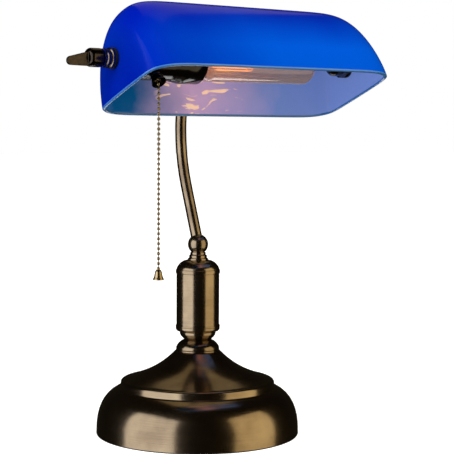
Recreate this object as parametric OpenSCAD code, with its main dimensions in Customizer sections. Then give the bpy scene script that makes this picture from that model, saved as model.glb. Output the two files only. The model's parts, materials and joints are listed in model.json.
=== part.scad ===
// Banker desk lamp: weighted bell base, turned column, bent stem, yoke behind a glass trough shade.
// Millimetres. +Z is up, the desk is z = 0, the base's axis is x = y = 0, and the shade opens to -Y.

/* [Base] */
// Diameter of the bell base at the desk
base_d = 178; // [174:1:184]
// Height of the step lip on the bell
lip_z = 47.4; // [46:0.2:48]
// Radius of the step lip
lip_r = 67.6; // [66.5:0.1:68]
// Thickness of the spun brass sheet
sheet = 1.2; // [1:0.1:1.4]

/* [Column and stem] */
// Radius of the column tube
column_r = 18.8; // [18:0.1:19.2]
// Radius of the ball at the foot of the stem
ball_r = 8.9; // [8.6:0.1:9.4]
// Outer radius of the stem tube
stem_r = 5; // [4.8:0.1:5.2]
// Angle at which the stem leans back from upright
stem_lean = 19.5; // [17:0.5:21]

/* [Yoke] */
// Height of the shade's pivot axis over the desk
pivot_z = 322; // [318:1:328]
// How far the pivot axis stands in front of the base's axis
pivot_front = 56; // [52:1:60]
// Distance from the pivot axis back to the yoke's rear bar
yoke_reach = 66; // [64:1:72]
// Outer radius of the yoke tube
yoke_r = 3.5; // [3.3:0.1:4]

/* [Shade] */
// Half length of the shade over its flat ends
shade_x = 124.5; // [123:0.5:126]
// Half width of the shade's rim
shade_y = 50; // [48:0.5:51]
// Height of the shade from its rim to its crest
shade_h = 75.3; // [72:0.5:77]
// Thickness of the glass
glass = 3; // [2.6:0.1:3.4]
// Tilt of the shade with its front edge raised
shade_tilt = 22.7; // [10:0.1:30]

/* [Lampholder] */
// Radius of the lampholder's cap and switch housing
holder_r = 16.5; // [16:0.1:17]
// Radius of the lampholder's shell
shell_r = 18.5; // [18:0.1:19]
// Radius of the tubular bulb
bulb_r = 16; // [14:0.5:16]
// Angle of the chain mouth below the horizontal
mouth_angle = 48; // [46:1:50]

/* [Hidden] */

// Base, from the desk up
shell_foot = 1;                      // the shell stands on the felt
felt_t = shell_foot;
felt_r = base_d / 2 - 0.6;
plate_top = 2.6;
bell_mid = 55;                       // where the bell's rounded shoulder starts
bell_rise = 41.6;
bell_power = 2.5;
cone_top = 72.2;                     // seat of the collar
cone_top_r = 20.4;
rod_r = 5;
rod_bore = 3.5;
rod_hole = rod_r + 0.2;
rod_foot = 12;
grommet_z = 12;
screw_circle = 66;
screw_angles = [30, 150, 270];
channel_w = 18;
channel_top = 15;

// Column
cup_z = 82.2;
tube_z0 = 95.4;
tube_z1 = 141;
cap_top = 152.6;
ball_z = 166.5;
ball_seat = 160.2;
ball_room = 4.3;
rod_top = 163.5;

// Stem: a straight foot, then two arcs that bring it upright and forward to the hub
stem_bore = 3.8;
stem_straight = 54;
stem_arc_r = 150;
up_y = stem_straight * sin(stem_lean) + stem_arc_r * (1 - cos(stem_lean));
up_z = ball_z + stem_straight * cos(stem_lean) + stem_arc_r * sin(stem_lean);

// Yoke: its plane rises a little to the back
yoke_rise = 2;
yoke_bore = yoke_r - 0.8;
yoke_bend = 45;
arm_x = 131.1;
hub_r = 9;
hub_room = 5.2;
hub_y = -pivot_front + yoke_reach * cos(yoke_rise);
hub_z = pivot_z + yoke_reach * sin(yoke_rise);
top_angle = 2 * atan((up_y - hub_y) / (hub_z - up_z));
top_arc_r = (hub_z - up_z) / sin(top_angle);
top_cut = asin(hub_room / top_arc_r);

// Places and directions along the stem and yoke
stem_way = [0, sin(stem_lean), cos(stem_lean)];
ball_at = [0, 0, ball_z];
hub_at = [0, hub_y, hub_z];
hub_in = [0, -sin(top_angle), cos(top_angle)];
back = [0, cos(yoke_rise), sin(yoke_rise)];
pivot_at = [0, -pivot_front, pivot_z];
function on_stem(r, a) = [0, up_y - r + r * cos(a), up_z + r * sin(a)];
function in_plane(x, y) = pivot_at + [x, 0, 0] + y * back;

// Pivot stack, as distances from the middle along X
eye_x0 = shade_x + 2;
eye_x1 = 135.8;
knob_x1 = 148.3;
knob_tip = 166.5;
knob_r = 7.5;
washer_r = 8.8;
nut_x0 = -117.6;                     // lock nut of the hollow pivot
acorn_x0 = 99.5;
washer_gap = 0.3;                    // the bushes keep the washers off the glass
acorn_flats = 15.2;
nipple_in = 107;
stud_in = 103;
stud_out = 143;

// Shade: a trough whose plan and section are superellipses, cut flat at its ends
end_power = 12;
side_power = 2.3;
crest_power = 1.5;
shade_a = shade_x + 6.2;
rim_drop = 29.7;                     // the rim below the pivot axis
shade_shift = -5.4;                  // the shade's middle in front of the pivot axis
around = 72;
levels = 15;
crest_angle = 89;

// Lampholder stations along X
cap_x = -120.1;
housing_x = -98;
flare_x0 = -75;
flare_x1 = -62;
holder_mouth = -44;
case_x0 = -97.4;                     // switch, from its closed end to its cover
drum_x0 = -94.4;
cover_x0 = -81;
core_x0 = -78.4;
core_x1 = -71;
contact_x = -68;
bulb_end = 77;
wall = 1.4;

// Pull switch: the chain line crosses the holder's axis and runs along the mouth
chain_x = -92;
mouth_out = 25;                      // from the holder's axis to the mouth's rim
drum_r = 5.2;
drum_off = 6.2;                      // from the chain line to the drum's axle
spring_x0 = -85.6;
spring_x1 = -81.5;
rod_s0 = -8;
rod_s1 = 17.1;
beads_r = 1.35;
chain_y = -72.2;
chain_foot = 156;
bell_h = 9.2;
lead_r = 1.9;

function superscale(t, p) = pow(max(t, 0), 2 / p);
function arc(cx, cy, r, a0, a1, n) = [for (i = [0:n]) let (a = a0 + (a1 - a0) * i / n)
    [cx + r * cos(a), cy + r * sin(a)]];

// A shape drawn along +Z, laid along +X from station x on the pivot axis
module on_axis(x) translate([x, -pivot_front, pivot_z]) rotate([0, 90, 0]) children();
module turned(outline) rotate_extrude($fn = 96) polygon(outline);
module ring(ro, ri, h) difference() {
    cylinder(r = ro, h = h, $fn = 64);
    translate([0, 0, -1]) cylinder(r = ri, h = h + 2, $fn = 64);
}
module hex_nut(flats, h, ri) difference() {
    cylinder(r = flats / sqrt(3), h = h, $fn = 6);
    translate([0, 0, -1]) cylinder(r = ri, h = h + 2, $fn = 48);
}

// Sweep of a round section along points, with its section carried along without twist
function unit(v) = v / norm(v);
function heading(p, i) = unit(p[min(i + 1, len(p) - 1)] - p[max(i - 1, 0)]);
function carried(p, n, i = 0) = i == len(p) ? [] :
    let (t = heading(p, i), m = unit(n - (n * t) * t)) concat([[t, m]], carried(p, m, i + 1));
module swept(p, r, n, sides = 8) {
    frames = carried(p, n);
    last = len(p) - 1;
    points = [for (i = [0:last]) for (k = [0:sides - 1])
        let (a = 360 * k / sides, t = frames[i][0], m = frames[i][1], b = cross(t, m))
        p[i] + r * (cos(a) * m + sin(a) * b)];
    sides_faces = [for (i = [0:last - 1]) for (k = [0:sides - 1])
        let (j = (k + 1) % sides)
        [i * sides + k, (i + 1) * sides + k, (i + 1) * sides + j, i * sides + j]];
    ends = [[for (k = [0:sides - 1]) k], [for (k = [sides - 1:-1:0]) last * sides + k]];
    polyhedron(points, concat(sides_faces, ends), convexity = 8);
}

// ---- base ----
module felt_pad() color("#1c1a18") cylinder(r = felt_r, h = felt_t, $fn = 128);

module bottom_plate() color("#3a3a3c") difference() {
    translate([0, 0, felt_t]) cylinder(r = base_d / 2 - 4.5, h = plate_top - felt_t, $fn = 128);
    for (a = screw_angles) rotate([0, 0, a]) translate([screw_circle, 0, 0])
        cylinder(r = 2.2, h = 5, $fn = 32);
}

module plate_screws() color("#8c8c90") for (a = screw_angles) rotate([0, 0, a])
    translate([screw_circle, 0, felt_t]) cylinder(r1 = 2.05, r2 = 2, h = 8, $fn = 32);

module base_weight() color("#2a2a2c") difference() {
    turned([[0, plate_top], [80, plate_top], [80, 9], [74, 13], [32, 17], [26, 27], [12, 38],
        [12, cone_top - sheet - 0.1], [0, cone_top - sheet - 0.1]]);
    cylinder(r = rod_hole, h = 100, $fn = 48);
    translate([0, 0, -1]) cylinder(r = 17, h = 21, $fn = 64);
    translate([-channel_w / 2, 0, 0]) cube([channel_w, 90, channel_top]);
    for (a = screw_angles) rotate([0, 0, a]) translate([screw_circle, 0, 0])
        cylinder(r = 2.15, h = 10, $fn = 32);
}

function bell(t, off) = [bell_mid + (base_d / 2 - bell_mid - off) * superscale(cos(t), bell_power),
    shell_foot + (bell_rise - off) * superscale(sin(t), bell_power)];
function cone_z(r) = let (u = (lip_r - 2.6 - r) / (lip_r - 2.6 - cone_top_r), rise = cone_top - lip_z)
    lip_z + rise * (0.58 * u + 0.42 * pow(u, 3));
module base_shell() color("#8a7350") difference() {
    cone_r = [for (i = [0:14]) lip_r - 2.6 - (lip_r - 2.6 - cone_top_r) * i / 14];
    outer = concat([for (t = [0, 8, 16, 24, 32, 40, 48, 56, 64, 72]) bell(t, 0)],
        [[lip_r + 0.1, 42.6], [lip_r, 45.2]], arc(lip_r - 2.2, 45.2, 2.2, 15, 90, 4),
        [for (r = cone_r) [r, cone_z(r)]]);
    inner = concat([[cone_top_r, cone_top - sheet]],
        [for (i = [13:-1:1]) [cone_r[i], cone_z(cone_r[i]) - sheet - 0.2]],
        [[lip_r - 2.6, lip_z - sheet - 0.2], [lip_r - sheet, 44.6], [lip_r - sheet, 41.2]],
        [for (t = [72, 64, 56, 48, 40, 32, 24, 16, 8, 0]) bell(t, sheet)]);
    turned(concat(outer, [[rod_hole, cone_top], [rod_hole, cone_top - sheet]], inner));
    translate([0, base_d / 2 - 8, grommet_z]) rotate([-90, 0, 0]) cylinder(r = 5.2, h = 20, $fn = 48);
}

module cable_grommet() color("#151515") translate([0, base_d / 2, grommet_z]) rotate([-90, 0, 0])
    difference() {
        union() {
            translate([0, 0, -7]) cylinder(r = 6.8, h = 3.2, $fn = 48);
            translate([0, 0, -3.8]) cylinder(r = 5, h = 4, $fn = 48);
            translate([0, 0, 0.2]) cylinder(r = 6.8, h = 1.8, $fn = 48);
        }
        translate([0, 0, -10]) cylinder(r = 3.6, h = 20, $fn = 48);
    }

module terminal_block() color("#d8d4c8") difference() {
    translate([-7.5, 48, plate_top]) cube([15, 12, 10]);
    translate([0, 60.5, 7.5]) rotate([90, 0, 0]) cylinder(r = lead_r + 0.1, h = 20, $fn = 32);
    for (x = [-4.2, 4.2]) translate([x, 54, 9]) cylinder(r = 1.5, h = 8, $fn = 32);
}

module threaded_rod() color("#9a9a9c") translate([0, 0, rod_foot])
    ring(rod_r, rod_bore, rod_top - rod_foot);
module rod_washer() color("#9a9a9c") translate([0, 0, 18.4]) ring(13, rod_hole, 1.6);
module rod_nut() color("#9a9a9c") translate([0, 0, 14.4]) hex_nut(14, 4, rod_r);

// ---- column ----
module base_collar() color("#8a7350") turned([[rod_hole, cone_top], [19.1, cone_top], [19.4, 73],
    [19.1, 73.8], [18.4, 74.1], [18.9, 74.6], [19, 75.6], [18.4, 77.2], [17.3, 78.9], [15.8, 80.4],
    [14.3, 81.5], [12.8, cup_z], [rod_hole, cup_z]]);

module column_cup() color("#8a7350") turned([[rod_hole, cup_z], [11.2, cup_z], [11.9, 82.8],
    [13, 84], [14.4, 85.4], [15.3, 86.7], [15.8, 88], [15.8, 89.6], [16.6, 90.2], [18.2, 90.5],
    [19, 91.4], [19.4, 92.6], [19.4, 93.8], [19.2, 94.2], [19.5, 94.6], [19.4, tube_z0],
    [column_r - sheet, tube_z0], [column_r - sheet, 99], [column_r - 2.6, 99], [column_r - 2.6, 94],
    [13, 92], [rod_hole, 92]]);

module column_tube() color("#8a7350") translate([0, 0, tube_z0])
    ring(column_r, column_r - sheet, tube_z1 - tube_z0);

module column_cap() color("#8a7350") turned([[rod_hole, 148], [12, 147.6], [14.6, 145.6], [16, 143],
    [16.2, 137], [column_r - sheet, 137], [column_r - sheet, tube_z1], [19.1, tube_z1], [19.4, 141.6],
    [19.4, 143.7], [19.2, 144.3], [18.7, 144.6], [18.7, 145.4], [18.1, 146.8], [17.1, 148.3],
    [15.9, 149.7], [14.3, 151], [12.4, 152], [10.4, cap_top], [rod_hole, cap_top]]);

module neck_ring() color("#8a7350") turned([[rod_hole, cap_top], [8.8, cap_top], [9, 153.3], [8.8, 154],
    [7.9, 154.6], [7.7, 155.2], [7.9, 156], [7.7, 156.7], [6.9, 157.3], [6.7, 157.8], [6.9, 158.5],
    [6.7, 159.2], [6.1, 159.7], [6, ball_seat], [rod_hole, ball_seat]]);

module elbow_ball() color("#8a7350") difference() {
    translate([0, 0, ball_z]) sphere(r = ball_r, $fn = 72);
    translate([-20, -20, ball_seat - 20]) cube([40, 40, 20]);
    translate([0, 0, ball_z]) sphere(r = ball_room, $fn = 48);
    translate([0, 0, ball_seat - 1]) cylinder(r = rod_r, h = rod_top - ball_seat + 1, $fn = 48);
    translate([0, 0, ball_z]) rotate([-stem_lean, 0, 0]) translate([0, 0, ball_room - 0.6])
        cylinder(r = stem_r, h = 20, $fn = 48);
}

// The tube's middle line, carried on at both ends by extra
function stem_line(extra) = concat(
    [ball_at + (ball_room - 0.6 - extra) * stem_way, ball_at + (ball_room + 6) * stem_way],
    [ball_at + (stem_straight - 8) * stem_way],
    [for (i = [0:5]) on_stem(stem_arc_r, -stem_lean * (1 - i / 5))],
    [for (i = [1:12]) on_stem(top_arc_r, (top_angle - top_cut) * i / 12)],
    extra > 0 ? [on_stem(top_arc_r, top_angle - top_cut) + extra * hub_in] : []);
module stem_tube() color("#8a7350") difference() {
    swept(stem_line(0), stem_r, [1, 0, 0], 24);
    swept(stem_line(1), stem_bore, [1, 0, 0], 24);
}

// ---- yoke ----
module in_yoke() translate([0, -pivot_front, pivot_z]) rotate([yoke_rise, 0, 0]) children();

module yoke_hub() color("#8a7350") difference() {
    translate([0, hub_y, hub_z]) sphere(r = hub_r, $fn = 72);
    translate([0, hub_y, hub_z]) sphere(r = hub_room, $fn = 48);
    translate([-20, hub_y, hub_z]) rotate([0, 90, 0]) cylinder(r = yoke_r, h = 40, $fn = 48);
    translate([0, hub_y, hub_z]) rotate([top_angle + 180 - top_cut / 2, 0, 0])
        translate([0, 0, hub_room - 0.7]) cylinder(r = stem_r + 0.05, h = 20, $fn = 48);
}

module yoke_arm() color("#8a7350") in_yoke() {
    straight = arm_x - yoke_bend;
    translate([hub_room, yoke_reach, 0]) rotate([0, 90, 0]) ring(yoke_r, yoke_bore, straight - hub_room);
    translate([straight, yoke_reach - yoke_bend, 0]) rotate_extrude(angle = 90, $fn = 120)
        translate([yoke_bend, 0]) difference() {
            circle(r = yoke_r, $fn = 48);
            circle(r = yoke_bore, $fn = 48);
        }
    translate([arm_x, 6.2, 0]) rotate([-90, 0, 0]) ring(yoke_r, yoke_bore, yoke_reach - yoke_bend - 6.2);
}
module yoke_arm_left() mirror([1, 0, 0]) yoke_arm();
module yoke_arm_right() yoke_arm();

// A turned eye, drawn from its inner face outwards, with a stepped socket for the arm
module eye(hole) color("#8a7350") difference() {
    turned([[hole, 0], [8.2, 0], [8.2, 2.3], [6.9, 2.9], [6.9, 4.2], [7.5, 4.6], [7.5, 6.2], [6.8, 6.8],
        [7.3, 7.6], [7.3, eye_x1 - eye_x0], [hole, eye_x1 - eye_x0]]);
    translate([0, 0, arm_x - eye_x0]) rotate([-90, 0, 0]) turned([[0, 0], [yoke_bore, 0], [yoke_bore, 6.2],
        [yoke_r, 6.2], [yoke_r, 12], [0, 12]]);
}
module yoke_eye_right() in_yoke() translate([eye_x0, 0, 0]) rotate([0, 90, 0]) eye(rod_r + 0.02);
module yoke_eye_left() in_yoke() mirror([1, 0, 0]) translate([eye_x0, 0, 0]) rotate([0, 90, 0])
    eye(rod_r + 0.02);

module pivot_nipple() color("#9a9a9c") difference() {
    on_axis(-stud_out) ring(rod_r, rod_bore, stud_out - nipple_in);
    in_yoke() translate([-arm_x, 0, 0]) rotate([-90, 0, 0]) cylinder(r = lead_r + 0.5, h = 10, $fn = 32);
}
module pivot_stud() color("#9a9a9c") on_axis(stud_in) cylinder(r = rod_r, h = stud_out - stud_in, $fn = 64);
module nipple_nut() color("#9a9a9c") on_axis(nut_x0) hex_nut(15, 3.4, rod_r);
module washer_left() color("#8a7350") on_axis(glass - shade_x + washer_gap)
    ring(washer_r, rod_r + 0.02, 1.1);
module washer_right() color("#8a7350") on_axis(shade_x - glass - washer_gap - 1.6)
    ring(washer_r, rod_r + 0.02, 1.6);
module acorn_nut() color("#8a7350") on_axis(acorn_x0) difference() {
    union() {
        translate([0, 0, 12.5]) cylinder(r = acorn_flats / sqrt(3), h = shade_x - glass - washer_gap - 1.6 - 112,
            $fn = 6);
        turned(concat([[0, 12.6], [7.6, 12.6], [7.6, 10.5]], arc(0, 7.6, 7.6, 0, -90, 8)));
    }
    translate([0, 0, stud_in - 99.5]) cylinder(r = rod_r, h = 30, $fn = 48);
}

// A lever knob, drawn from the eye outwards: a turned barrel and a flat drooping lever
module knob() color("#6b5a41") difference() {
    union() {
        turned(concat([[0, 0], [6.6, 0], [6.9, 0.6], [knob_r, 1.2], [knob_r, 9.2]],
            arc(knob_r - 3.2, 9.2, 3.2, 8, 82, 5), [[0, knob_x1 - eye_x1 - 0.1]]));
        hull() {
            translate([1.2, 0, 8]) rotate([90, 0, 0]) cylinder(r = 5.6, h = 3.4, center = true, $fn = 32);
            translate([1.2, 0, 13]) rotate([90, 0, 0]) cylinder(r = 5.2, h = 3.2, center = true, $fn = 32);
            translate([2.9, 0, knob_tip - eye_x1 - 3.5]) rotate([90, 0, 0])
                cylinder(r = 3.5, h = 2.6, center = true, $fn = 32);
        }
    }
    translate([0, 0, -1]) cylinder(r = rod_r + 0.05, h = stud_out - eye_x1 + 1.6, $fn = 64);
}
module knob_right() on_axis(eye_x1) knob();
module knob_left() mirror([1, 0, 0]) on_axis(eye_x1) knob();

// ---- shade ----
// A point of the trough at plan angle u and section angle v, shrunk by off for the inner face
function trough(u, v, off) = let (rest = pow(cos(v), 2), a = shade_a - off, b = shade_y - off,
    x = a * pow(rest, 1 / end_power) * sign(cos(u)) * superscale(abs(cos(u)), end_power),
    y = b * pow(rest, 1 / side_power) * sign(sin(u)) * superscale(abs(sin(u)), side_power))
    [max(min(x, shade_x - off), off - shade_x), y + shade_shift,
        (shade_h - off) * superscale(sin(v), crest_power) - rim_drop];
module in_shade() translate([0, -pivot_front, pivot_z]) rotate([-shade_tilt, 0, 0]) children();
module trough_shell() {
    angles = [for (i = [0:around - 1]) 360 * (i + 0.5) / around];
    rows = [for (j = [0:levels]) crest_angle * j / levels];
    n = around;
    m = n * (levels + 1);
    points = concat([for (v = rows) for (u = angles) trough(u, v, 0)],
        [for (v = rows) for (u = angles) trough(u, v, glass)]);
    outer = [for (j = [0:levels - 1]) for (i = [0:n - 1]) let (k = (i + 1) % n)
        [j * n + i, (j + 1) * n + i, (j + 1) * n + k, j * n + k]];
    inner = [for (j = [0:levels - 1]) for (i = [0:n - 1]) let (k = (i + 1) % n)
        [m + j * n + i, m + j * n + k, m + (j + 1) * n + k, m + (j + 1) * n + i]];
    rim = [for (i = [0:n - 1]) let (k = (i + 1) % n) [i, k, m + k, m + i]];
    crest = [[for (i = [n - 1:-1:0]) levels * n + i], [for (i = [0:n - 1]) m + levels * n + i]];
    polyhedron(points, concat(outer, inner, rim, crest), convexity = 10);
}
module shade_glass() color("#0a2fb8") in_shade() difference() {
    trough_shell();
    translate([-200, 0, 0]) rotate([0, 90, 0]) cylinder(r = 7, h = 400, $fn = 64);
}
// A rubber top-hat bush: its flange is outside the glass, its sleeve in the hole
module bush() color("#141414") difference() {
    union() {
        translate([0, 0, -washer_gap]) cylinder(r = 6.97, h = glass + washer_gap, $fn = 64);
        translate([0, 0, glass]) cylinder(r = 8.6, h = 1.95, $fn = 64);
    }
    translate([0, 0, -1]) cylinder(r = rod_r + 0.06, h = 10, $fn = 64);
}
module shade_bush_right() on_axis(shade_x - glass) bush();
module shade_bush_left() mirror([1, 0, 0]) on_axis(shade_x - glass) bush();

// ---- lampholder ----
module holder_cap() color("#1a1613") on_axis(cap_x) difference() {
    turned(concat([[0, 0], [10.5, 0]], arc(holder_r - 6, 6, 6, -90, 0, 6),
        [[holder_r, housing_x - cap_x], [0, housing_x - cap_x]]));
    turned(concat([[0, wall], [10, wall]], arc(holder_r - 6, 6, 6 - wall, -80, 0, 5),
        [[holder_r - wall, 40], [0, 40]]));
    translate([0, 0, -1]) cylinder(r = rod_r, h = 5, $fn = 64);
}
// Along the chain's line from the holder's axis, out through the mouth
module on_chain_line() translate([chain_x, -pivot_front, pivot_z]) rotate([90 + mouth_angle, 0, 0])
    children();
module switch_housing() color("#0e0d0d") difference() {
    on_axis(housing_x) ring(holder_r, holder_r - wall, flare_x0 - housing_x);
    on_chain_line() cylinder(r = 3.6, h = 30, $fn = 48);
}
module chain_mouth() color("#3a2f22") on_chain_line() turned([[1.7, 15.6], [3.5, 15.6], [3.5, 16.8],
    [4.6, 17.4], [4.3, 18.6], [4.5, 20], [5.2, 21.6], [6.1, mouth_out - 0.7], [6.15, mouth_out],
    [5.5, mouth_out], [4.5, 21.9], [3.6, 20.2], [1.7, 19.4]]);
module holder_shell() color("#0c0c0c") on_axis(flare_x0) turned([[holder_r - 1.4, 0], [holder_r, 0],
    [holder_r, 0.8], [shell_r - 0.3, flare_x1 - flare_x0 - 1], [shell_r, flare_x1 - flare_x0],
    [shell_r, holder_mouth - flare_x0 - 0.6], [shell_r - 0.6, holder_mouth - flare_x0],
    [shell_r - wall, holder_mouth - flare_x0], [shell_r - wall, flare_x1 - flare_x0],
    [holder_r - 1.4, 2.2]]);
module drum_place() translate([0, -drum_off * sin(mouth_angle), drum_off * cos(mouth_angle)]) children();
module switch_case() color("#3b2a20") difference() {
    on_axis(case_x0) cylinder(r = holder_r - wall - 0.3, h = 16.4, $fn = 96);
    on_axis(case_x0 + 2) cylinder(r = 12.9, h = 20, $fn = 96);
    on_chain_line() cylinder(r = 3.6, h = 30, $fn = 48);
    on_axis(case_x0 - 2.6) cylinder(r = lead_r + 0.4, h = 8, $fn = 32);
    drum_place() on_axis(case_x0 + 0.8) cylinder(r = 1.26, h = 4, $fn = 32);
}
module switch_cover() color("#3b2a20") difference() {
    on_axis(cover_x0) cylinder(r = holder_r - wall - 0.3, h = 2.4, $fn = 96);
    drum_place() on_axis(cover_x0 - 1) cylinder(r = 1.26, h = 2.4, $fn = 32);
}
// Ratchet drum on its axle, turned by the chain's rod
module switch_rotor() color("#b08d57") drum_place() {
    on_axis(drum_x0) cylinder(r = drum_r, h = 5, $fn = 64);
    on_axis(drum_x0 + 5) cylinder(r = 3, h = 3, $fn = 48);
    on_axis(drum_x0 - 2.1) cylinder(r = 1.2, h = 16.3, $fn = 32);
}
module switch_spring() color("#c8c8cc") {
    turns = 3;
    steps = 36;
    drum_place() translate([spring_x0, -pivot_front, pivot_z])
        swept([for (i = [0:steps]) let (a = 360 * turns * i / steps)
            [(spring_x1 - spring_x0) * i / steps, 2.6 * cos(a), 2.6 * sin(a)]], 0.4, [0, 1, 0], 6);
}
module pull_rod() color("#b08d57") on_chain_line() translate([0, 0, rod_s0])
    cylinder(r = 0.7, h = rod_s1 - rod_s0, $fn = 32);

// The chain leaves along the mouth and falls to hang straight down
chain_route = [for (p = [[-67.5, 309.2], [-68.8, 307.8], [-70, 306.2], [-71, 304.2], [-71.7, 301.8],
    [-72.1, 298.6], [chain_y, 294], [chain_y, 288], [chain_y, 275], [chain_y, 255], [chain_y, 235],
    [chain_y, 215], [chain_y, 195], [chain_y, 175], [chain_y, chain_foot]]) [chain_x, p[0], p[1]]];
module pull_chain() color("#c9a45c") swept(chain_route, beads_r, [1, 0, 0]);
module chain_bell() color("#c9a45c") translate([chain_x, chain_y, chain_foot - bell_h])
    turned([[0, 2.2], [3.2, 0.4], [3.9, 0], [4.4, 0.2], [4.3, 1], [3.6, 2.4], [3.1, 4.4], [2.8, 6.4],
        [2.1, 7.8], [1.4, 8.3], [1.4, bell_h], [0, bell_h]]);

module socket_core() color("#4a3526") on_axis(core_x0) difference() {
    cylinder(r = 14.9, h = core_x1 - core_x0, $fn = 96);
    for (y = [-9, 9]) translate([0, y, -1]) cylinder(r = 1.8, h = 20, $fn = 32);
}
module screw_shell() color("#b08d57") on_axis(core_x1) difference() {
    ring(14.2, 13.5, 22);
    translate([0, 0, -1]) cylinder(r = 13.4, h = 4, $fn = 64);
}
module centre_contact() color("#b08d57") on_axis(core_x1) {
    cylinder(r = 3, h = 1.6, $fn = 48);
    translate([0, 0, 1.6]) cylinder(r = 2, h = contact_x - core_x1 - 1.6, $fn = 48);
}

// ---- bulb ----
module bulb_contact() color("#b8b8bc") on_axis(contact_x)
    turned([[0, 0], [4.5, 0], [5, 0.6], [8.5, 2.4], [8.5, 3], [0, 3]]);
module bulb_cap() color("#b8b8bc") on_axis(contact_x + 3) turned(concat([[0, 0], [8.5, 0], [12.3, 2]],
    [for (i = [0:20]) [12.9 + 0.3 * sin(90 * i), 3 + i * 0.9]], [[13, 22], [13, 24], [0, 24]]));
module bulb_glass() color("#e8e8e8", 0.35) on_axis(contact_x + 27) {
    length = bulb_end - contact_x - 27;
    turned(concat([[8, 0], [12.9, 0], [13, 2], [14.6, 4.4], [bulb_r - 0.1, 7.5], [bulb_r, 10],
        [bulb_r, length - 9]], arc(bulb_r - 9, length - 9, 9, 10, 90, 8), [[0, length], [0, length - 0.8],
        [bulb_r - 9, length - 0.8]], arc(bulb_r - 9, length - 9, 8.2, 80, 10, 7),
        [[bulb_r - 0.8, length - 9], [bulb_r - 0.8, 10], [bulb_r - 1, 7.8], [13.8, 5], [12.1, 2.4],
        [12.1, 0.8], [8, 0.8]]));
}
module bulb_mount() color("#dfe3e4") on_axis(contact_x + 27) turned([[0, 0], [7.9, 0], [7.9, 1.5],
    [4, 5], [3, 9], [2.6, 16], [3.4, 18], [3.4, 20], [1.2, 21], [1.2, 52], [2, 53], [2, 54.6], [0, 55]]);
module filament() color("#ffb050") {
    loops = 6;
    on_axis(contact_x + 27) for (k = [0:loops - 1]) rotate([0, 0, 360 * (k + 0.5) / loops])
        translate([6.2, 0, 17.6]) cylinder(r = 0.35, h = 35, $fn = 16);
}

// ---- wiring ----
module internal_lead() color("#f0efe8") {
    bar = -(arm_x - yoke_bend);
    side = yoke_reach - yoke_bend;
    foot = [[0, 46, 7.5], [0, 30, 7.5], [0, 14, 7.5], [0, 8, 8], [0, 4, 9.5], [0, 1.2, 12.4], [0, 0, 16]];
    column = [[0, 0, 60], [0, 0, 110], [0, 0, 158], [0, 0, 163], ball_at + [0, 0.3, 0],
        ball_at + 4 * stem_way];
    stem = concat([ball_at + stem_straight / 2 * stem_way],
        [for (a = [-stem_lean:stem_lean / 4:0]) on_stem(stem_arc_r, a)],
        [for (i = [1:6]) on_stem(top_arc_r, (top_angle - top_cut) * i / 6)]);
    turn = [hub_at - 2.6 * hub_in, hub_at - 1.2 * hub_in - [0.9, 0, 0], hub_at - 0.3 * hub_in - [2.6, 0, 0],
        hub_at - [5, 0, 0], hub_at - [12, 0, 0], hub_at - [45, 0, 0]];
    bend = [for (a = [0:11.25:90]) in_plane(bar - yoke_bend * sin(a), side + yoke_bend * cos(a))];
    eye_turn = [in_plane(-arm_x, 8), in_plane(-arm_x, 4.6), in_plane(-arm_x, 2.8),
        in_plane(-arm_x + 0.7, 1.1), in_plane(-arm_x + 2.4, 0.2), in_plane(-arm_x + 4.6, 0)];
    swept(concat(foot, column, stem, turn, bend, eye_turn, [in_plane(-115, 0), in_plane(-98, 0),
        in_plane(-95.8, 0)]), lead_r, [1, 0, 0]);
}

felt_pad();
bottom_plate();
plate_screws();
base_weight();
base_shell();
cable_grommet();
terminal_block();
threaded_rod();
rod_washer();
rod_nut();
base_collar();
column_cup();
column_tube();
column_cap();
neck_ring();
elbow_ball();
stem_tube();
yoke_hub();
yoke_arm_left();
yoke_arm_right();
yoke_eye_left();
yoke_eye_right();
pivot_nipple();
pivot_stud();
nipple_nut();
washer_left();
washer_right();
acorn_nut();
knob_left();
knob_right();
shade_glass();
shade_bush_left();
shade_bush_right();
holder_cap();
switch_housing();
chain_mouth();
holder_shell();
switch_case();
switch_cover();
switch_rotor();
switch_spring();
pull_rod();
pull_chain();
chain_bell();
socket_core();
screw_shell();
centre_contact();
bulb_cap();
bulb_contact();
bulb_glass();
bulb_mount();
filament();
internal_lead();
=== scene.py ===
"""Finished looks of a banker desk lamp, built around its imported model. Lengths are in metres."""

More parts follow.
